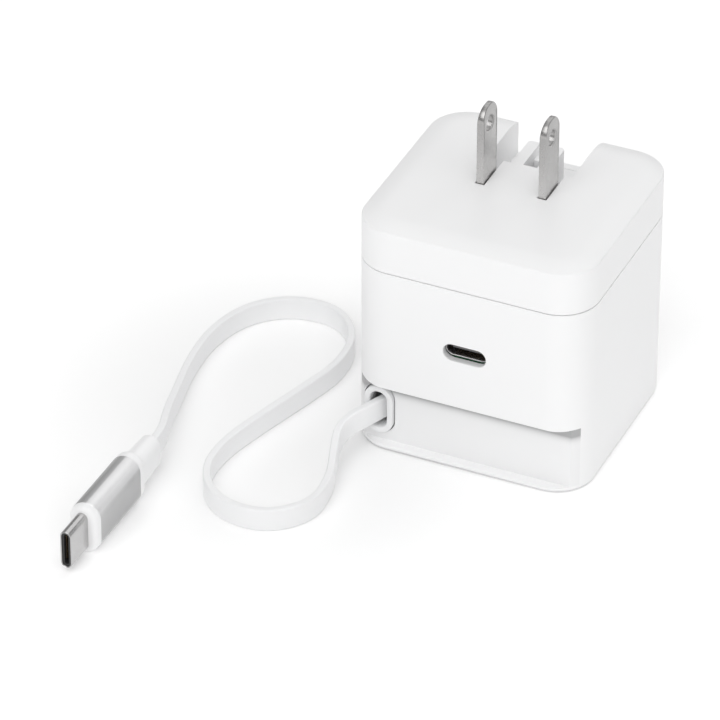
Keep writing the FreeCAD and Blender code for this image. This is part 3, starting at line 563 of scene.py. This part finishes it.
crown_insets = np.linspace(crease_round, crown_inset, 12)
cap_rows = (
    [(4.9, crown(0) - 1, front), (shell_wall, crown(0) - 1, front),
     (shell_wall, cap_seam + 0.5, front),
     (shell_wall + 1.3, cap_seam + 0.5, front), (shell_wall + 1.3, cap_low, front),
     (shell_wall + 0.1, cap_low, front), (shell_wall + 0.1, cap_seam, front)]
    + [(back, cap_seam + up, front) for back, up in edge_arc(edge_round)[::-1]]
    + [(back, crown(crease_round) - down, front) for back, down in edge_arc(crease_round, 7)]
    + [(inset, crown(inset), front) for inset in crown_insets[1:]]
    + [(crown_inset + 0.25, cap_top, front)])
cap = sheath("cap", plan_rings(cap_rows), plastic_finish)


def offset(outline, wider):
    """A closed plan with every side moved outwards by a distance, its corners mitred."""
    side = np.roll(outline, -1, 0) - outline
    side /= np.linalg.norm(side, axis=1)[:, None]
    normal = np.column_stack([side[:, 1], -side[:, 0]])
    before = np.roll(normal, 1, 0)
    mitre = (normal + before) / (1 + np.einsum("ij,ij->i", normal, before))[:, None]
    return outline + mitre * wider


def fine(outline, step=1.0):
    """The same closed plan with points added along its long sides."""
    parts = []
    for here, following in zip(outline, np.roll(outline, -1, 0)):
        count = max(1, int(np.linalg.norm(following - here) / step))
        parts.append(here + np.linspace(0, 1, count, endpoint=False)[:, None] * (following - here))
    return np.concatenate(parts)


def mirrored(right_half):
    """A closed plan from its right half, listed from the middle of one end to the other's."""
    right_half = np.array(right_half, float)
    return np.concatenate([right_half, right_half[::-1] * (-1, 1)])


def top_cutter(outline, bottom):
    """A cutter of a plan from above the crowned top down to a height, flared into a rounded lip
    that follows the crown towards the back."""
    plan = fine(outline)
    rings = []
    for deep, wide in [(-1.5, bay_lip + 0.05), (-0.02, bay_lip + 0.05)] + edge_arc(bay_lip):
        ring = offset(plan, wide)
        surface = crown(half_depth - ring[:, 1])
        rings.append(np.column_stack([ring, surface - deep]))
    rings.append(np.column_stack([plan, np.full(len(plan), bottom)]))
    return sheath("cutter", rings, plastic_finish)


def prism(outline, low, high):
    """An upright closed prism of a plan."""
    return sheath("cutter", [np.column_stack([outline, np.full(len(outline), z)])
                             for z in (low, high)], plastic_finish)


bar_corner = [(bar_half - bar_round + bar_round * math.sin(t), bar_back - bar_round
               + bar_round * math.cos(t)) for t in np.linspace(0, math.pi / 2, 5)]
past_back = half_depth + 0.9
bay_plan = mirrored(bar_corner + [(bar_half, bay_start), (slot_in, bay_start), (slot_in, slot_front),
                                  (slot_out, slot_front), (slot_out, bay_start),
                                  (bay_half, bay_start), (bay_half, past_back)])
under_web = mirrored([(bay_half, slot_front - 0.2), (bay_half, bay_start + 0.5),
                      (bar_half, bay_start + 0.5), (bar_half, bar_front)])
bay_block = mirrored([(bay_half + 1.3, slot_front - 1.5), (bay_half + 1.3, half_depth - 1.7)])
pocket = mirrored([(pocket_half, pocket_front), (pocket_half, bar_back + 0.6)])
pocket_hole = mirrored([(pocket_half - 0.01, pocket_front + 0.01), (pocket_half - 0.01, pocket_back)])
carve(cap, prism(bay_block, bay_floor, crown(0) - 0.7), operation="UNION")
carve(cap, top_cutter(bay_plan, bay_floor - 0.005), prism(under_web, bay_floor - 1, web_low),
      top_cutter(pocket, cap_top - pocket_deep), prism(pocket_hole, pocket_floor, cap_top - 1))
even_shading(cap)
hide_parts("top_cap")
for piece in (housing, cap):
    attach(piece, "root")


# ------------------------------------------------------------------ eyelet
# A satin white ring is pressed into the recessed band, and the lead runs through it with room to
# spare. Its rim is rolled outwards and stands a little proud of the band.
eyelet_finish, eyelet_shader, where = finish("eyelet_plastic", Specular_IOR_Level=0.4)
cloud = grain(where, 300, 3)
feed(eyelet_shader, Base_Color=cloud.blend((0.84, 0.845, 0.85), (0.87, 0.875, 0.88)),
     Roughness=cloud * 0.1 + 0.35, Normal=relief(grain(where, 6000, 2), 0.004, 0.4))
eyelet_half_x, eyelet_half_z, eyelet_wall = 2.95, 5.3, 1.2
eyelet_front, eyelet_back, rim_round = band_plane - 0.9, band_plane + 2.1, 0.2
eyelet_levels = (
    [(eyelet_back, 0)] + [(eyelet_front + up, -back) for back, up in edge_arc(rim_round)]
    + [(eyelet_front + up, back - eyelet_wall) for back, up in edge_arc(0.35)[::-1]]
    + [(eyelet_back, -eyelet_wall)])
ring_of_eyelet = sheath("eyelet", front_rings(eyelet_x, eyelet_z, eyelet_half_x, eyelet_half_z, 2.9,
                                              eyelet_levels), eyelet_finish, True, 50)
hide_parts("cable_eyelet")
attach(ring_of_eyelet, "root")


# ------------------------------------------------------------------ blades
# Two flat blades of nickel-plated brass are stamped with round corners and one hole each, and
# turn on the hinge pin. Their faces have a fine brushed grain along their length.
nickel_finish, nickel_shader, where = finish("blade_nickel", metallic=1.0)
brushed = grain(where, 900, 3, (1, 14, 0.6))
cloud = grain(where, 160, 3)
# Painted shade: the blades' colour darkens towards their tips.
tip_painted_shade = rising(part_of(where, "Object", 2), 0.052, 0.066)
feed(nickel_shader,
     Base_Color=((brushed + cloud) * 0.14 + 0.8 - tip_painted_shade * 0.6).blend(
         (0.26, 0.257, 0.254), (0.66, 0.652, 0.645)),
     Roughness=brushed * 0.14 + cloud * 0.1 + 0.16, Normal=relief(brushed, 0.004, 0.5))

blade_half_thick, blade_half_wide, blade_edge = 0.775, 3.175, 0.22
pivot_y, pivot_z = 1.65, 46.6
blade_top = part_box("blade_left")[1][2] * 1000
blade_offset, tip_round, pin_radius = 6.35, 2.7, 1.02
hole_radius, hole_z, countersink = 1.6, 62.8, 0.55
taper_start, taper = 64.2, 0.26


def blade_outline(inset):
    """A blade seen from the side, as (y, z): half round at its root, round-cornered at its tip."""
    half, tip = blade_half_wide - inset, blade_top - inset
    root = np.radians(np.linspace(180, 360, 33))
    corner_turn = np.radians(np.linspace(0, 90, 11))
    radius = tip_round - inset
    right = np.column_stack([half - radius + radius * np.cos(corner_turn),
                             tip - radius + radius * np.sin(corner_turn)])
    left = right[::-1] * (-1, 1)
    round_root = np.column_stack([half * np.cos(root), pivot_z + half * np.sin(root)])
    return np.concatenate([round_root, right, left]) + (pivot_y, 0)


def disc(y, z, radius, across):
    """Rings of circles that face sideways: each level is its X and how much wider it is."""
    turn = np.radians(np.arange(0, 360, 7.5))
    return [np.column_stack([np.full(len(turn), x), y + (radius + wider) * np.cos(turn),
                             z + (radius + wider) * np.sin(turn)]) for x, wider in across]


for side, node in ((-1, "blade_left"), (1, "blade_right")):
    middle = side * blade_offset
    levels = ([(middle - blade_half_thick + deep, inset) for deep, inset in edge_arc(blade_edge)]
              + [(middle + blade_half_thick - deep, inset)
                 for deep, inset in edge_arc(blade_edge)[::-1]])
    rings = []
    for x, inset in levels:
        shape = blade_outline(inset)
        up_tip = np.clip((shape[:, 1] - taper_start) / (blade_top - taper_start), 0, 1)
        thinner = 1 - taper * up_tip / blade_half_thick
        rings.append(np.column_stack([middle + (x - middle) * thinner, shape]))
    piece = sheath(node.replace("blade", "prong"), rings, nickel_finish)
    flare = [(blade_half_thick + 0.5, countersink + 0.02), (blade_half_thick - 0.02, countersink),
             (blade_half_thick - 0.35, 0)]
    across = ([(middle - out, wider) for out, wider in flare]
              + [(middle + out, wider) for out, wider in flare[::-1]])
    hole = disc(pivot_y, hole_z, hole_radius, across)
    pin_bore = disc(pivot_y, pivot_z, pin_radius, [(middle - 2, 0), (middle + 2, 0)])
    carve(piece, sheath("cutter", hole, nickel_finish), sheath("cutter", pin_bore, nickel_finish))
    even_shading(piece)
    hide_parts(node)
    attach(piece, "plug")


# ------------------------------------------------------------------ socket
# A drawn steel shell sits behind the hole in the front, with its mouth rolled, and the thin dark
# tongue inside it carries two rows of gold contacts.
shell_face, shell_end = front + 1.5, front + 8.8
mouth_levels = ([(shell_end, 0)] + [(shell_face + up, -back) for back, up in edge_arc(0.14)]
                + [(shell_face + up, back - 0.3) for back, up in edge_arc(0.14)[::-1]]
                + [(shell_end, -0.3)])
socket_tube = sheath("socket_tube", front_rings(0, socket_z, 4.47, 1.58, 1.579, mouth_levels),
                     plug_finish, True, 50)
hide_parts("socket_shell")
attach(socket_tube, "root")

tongue_finish, tongue_shader, where = finish("tongue_plastic", Specular_IOR_Level=0.5)
mould = grain(where, 3000, 3)
feed(tongue_shader, Base_Color=mould.blend((0.14, 0.14, 0.143), (0.18, 0.18, 0.184)),
     Roughness=mould * 0.12 + 0.34, Normal=relief(mould, 0.006, 0.5))
tongue_face, tongue_chamfer = shell_face + 0.7, 0.22
tongue_levels = [(shell_end - 1, 0), (tongue_face + tongue_chamfer, 0), (tongue_face, -tongue_chamfer)]
tongue = sheath("tongue", front_rings(0, socket_z, 3.35, 0.35, 0.349, tongue_levels), tongue_finish,
                sharp=40)
tongue_root = sheath("tongue_root", front_rings(0, socket_z, 4.17, 1.28, 1.279,
                                                [(shell_end, 0), (shell_end - 2, 0)]), tongue_finish,
                     sharp=40)
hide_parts("socket_tongue")
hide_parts("socket_tongue")
for piece in (tongue, tongue_root):
    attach(piece, "root")


# ------------------------------------------------------------------ finishes of the other parts
# The parts that show through the openings, and all that is inside the housing, keep their form
# and get the plastic, metal, copper, board or ferrite that they are made of.
def speckled(name, low, high, roughness, per_metre, depth_mm, metallic=0.0, stretch=(1, 1, 1)):
    """A finish whose colour goes between two tones, with a matching roughness and relief."""
    material, shader, where = finish(name, metallic)
    fine_grain = grain(where, per_metre, 3, stretch)
    feed(shader, Base_Color=fine_grain.blend(low, high), Normal=relief(fine_grain, depth_mm, 0.6),
         Roughness=fine_grain * 0.15 + (roughness - 0.07))
    return material


finishes = {"housing_white": plastic_finish, "accent_white": white_finish, "cable_white": lead_finish,
            "plug_nickel": plug_finish, "blade_nickel": nickel_finish,
            "sleeve_aluminium": sleeve_finish}
for name, *look in (
        ("black_plastic", (0.018, 0.018, 0.019), (0.03, 0.03, 0.032), 0.5, 3000, 0.01),
        ("carrier_plastic", (0.80, 0.80, 0.81), (0.85, 0.85, 0.86), 0.45, 2500, 0.01),
        ("contact_copper", (0.80, 0.55, 0.28), (0.90, 0.66, 0.36), 0.3, 4000, 0.003, 1.0),
        ("steel", (0.48, 0.48, 0.49), (0.6, 0.6, 0.61), 0.3, 1500, 0.004, 1.0, (1, 8, 1)),
        ("spring_steel", (0.35, 0.36, 0.40), (0.48, 0.48, 0.5), 0.28, 1200, 0.003, 1.0, (1, 1, 12)),
        ("board_green", (0.012, 0.10, 0.045), (0.02, 0.16, 0.07), 0.35, 700, 0.02),
        ("ferrite", (0.045, 0.043, 0.042), (0.085, 0.08, 0.078), 0.75, 2500, 0.03),
        ("tape_yellow", (0.78, 0.58, 0.06), (0.86, 0.68, 0.12), 0.3, 400, 0.01, 0.0, (1, 1, 9)),
        ("capacitor_sleeve", (0.02, 0.03, 0.06), (0.04, 0.05, 0.10), 0.25, 900, 0.005),
        ("wire_blue", (0.05, 0.12, 0.4), (0.08, 0.18, 0.52), 0.4, 1500, 0.01),
        ("heat_aluminium", (0.66, 0.66, 0.67), (0.76, 0.76, 0.77), 0.35, 1200, 0.006, 1.0,
         (8, 1, 1))):
    finishes[name] = speckled(name, *look)
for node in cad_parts.values():
    for place in node.material_slots:
        place.material = finishes[place.material.name.split(".")[0]]
